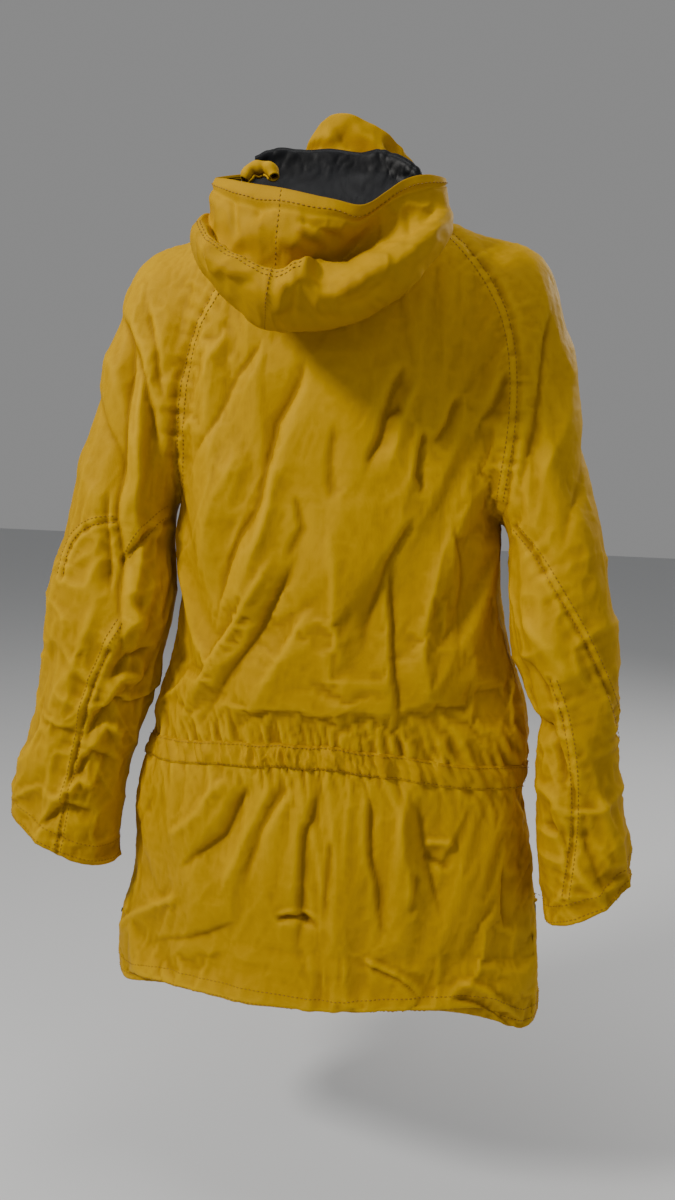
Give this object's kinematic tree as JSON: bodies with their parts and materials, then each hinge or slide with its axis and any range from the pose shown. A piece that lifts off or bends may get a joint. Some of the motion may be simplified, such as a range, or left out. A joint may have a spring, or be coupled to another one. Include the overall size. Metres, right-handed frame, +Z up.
{
  "type": "hooded parka",
  "caption": "Hooded hip-length field parka hanging empty, with raglan sleeves, gathered waist casing, zipped front under a snapped flap and two flapped lower pockets.",
  "frame": {"origin": "where a coat hanger's neck passes through the middle of the neck opening, 25 mm above the neck seam", "axes": "+Z up, -Y is the way the wearer faces, +X is the wearer's left; the coat hangs straight down"},
  "size_m": [0.6544, 0.3525, 0.8981],
  "materials": {
    "shell_cloth": "tightly woven cotton and nylon, softly worn, slight sheen",
    "dark_lining": "smooth dark navy lining",
    "strap_tape": "woven tape",
    "snap_cap": "dark enamel",
    "snap_metal": "dull brass",
    "zip_tape": "woven tape",
    "zip_metal": "aged brass",
    "zip_slider_metal": "aged brass"
  },
  "bodies": {
    "coat": {"back_panel": "shell_cloth", "body_lining": "dark_lining", "collar": "shell_cloth", "collar_lining": "dark_lining", "hang_loop": "strap_tape", "hem_facing": "dark_lining", "hood_neck_strip": "shell_cloth", "left_elbow": "shell_cloth", "left_front_panel": "shell_cloth", "left_pocket": "shell_cloth", "left_pocket_flap_root": "shell_cloth", "left_pocket_studs": "snap_metal", "left_upper_sleeve": "shell_cloth", "left_upper_sleeve_lining": "dark_lining", "right_elbow": "shell_cloth", "right_front_panel": "shell_cloth", "right_pocket": "shell_cloth", "right_pocket_flap_root": "shell_cloth", "right_pocket_studs": "snap_metal", "right_upper_sleeve": "shell_cloth", "right_upper_sleeve_lining": "dark_lining", "storm_flap_root": "shell_cloth", "storm_flap_studs": "snap_metal", "waist_casing": "shell_cloth", "waist_eyelets": "snap_metal", "zip_box": "zip_metal", "zip_tape_left": "zip_tape", "zip_tape_right": "zip_tape", "zip_teeth_left": "zip_metal", "zip_teeth_right": "zip_metal", "zip_top_stops": "zip_metal"},
    "hood": {"hood_left_panel": "shell_cloth", "hood_right_panel": "shell_cloth", "hood_brim": "shell_cloth", "hood_lining": "dark_lining"},
    "left_forearm": {"left_lower_sleeve": "shell_cloth", "left_lower_sleeve_lining": "dark_lining", "left_cuff_band": "shell_cloth"},
    "right_forearm": {"right_lower_sleeve": "shell_cloth", "right_lower_sleeve_lining": "dark_lining", "right_cuff_band": "shell_cloth"},
    "storm_flap": {"storm_flap": "shell_cloth", "storm_flap_snaps": "snap_cap"},
    "left_pocket_flap": {"left_pocket_flap": "shell_cloth", "left_pocket_snaps": "snap_cap"},
    "right_pocket_flap": {"right_pocket_flap": "shell_cloth", "right_pocket_snaps": "snap_cap"},
    "zip_slider": {"zip_slider": "zip_slider_metal"},
    "zip_pull": {"zip_pull": "zip_slider_metal"}
  },
  "joints": [
    {"name": "hood_lift", "type": "hinge", "parent": "coat", "child": "hood", "pos_m": [-0.016, 0.08, -0.023], "axis": [1, 0, 0], "range_deg": [0, 95]},
    {"name": "left_elbow_bend", "type": "hinge", "parent": "coat", "child": "left_forearm", "pos_m": [0.2335, 0.02, -0.4], "axis": [-1, 0, 0], "range_deg": [0, 80], "deforming": ["left_elbow"]},
    {"name": "right_elbow_bend", "type": "hinge", "parent": "coat", "child": "right_forearm", "pos_m": [-0.2335, 0.02, -0.4], "axis": [-1, 0, 0], "range_deg": [0, 80], "deforming": ["right_elbow"]},
    {"name": "storm_flap_open", "type": "hinge", "parent": "coat", "child": "storm_flap", "pos_m": [0.038, -0.11248, -0.3832], "axis": [0, 0.0559, 0.9984], "range_deg": [0, 100]},
    {"name": "left_pocket_flap_lift", "type": "hinge", "parent": "coat", "child": "left_pocket_flap", "pos_m": [0.11814, -0.11259, -0.6231], "axis": [-0.9521, -0.3057, 0], "range_deg": [0, 110]},
    {"name": "right_pocket_flap_lift", "type": "hinge", "parent": "coat", "child": "right_pocket_flap", "pos_m": [-0.11814, -0.11259, -0.6231], "axis": [-0.9521, 0.3057, 0], "range_deg": [0, 110]},
    {"name": "zip_slide", "type": "slide", "parent": "coat", "child": "zip_slider", "axis": [0, -0.0559, -0.9984], "range_m": [0, 0.7025]},
    {"name": "pull_swing", "type": "hinge", "parent": "zip_slider", "child": "zip_pull", "pos_m": [0, -0.08243, -0.00569], "axis": [-1, 0, 0], "range_deg": [0, 120]}
  ]
}
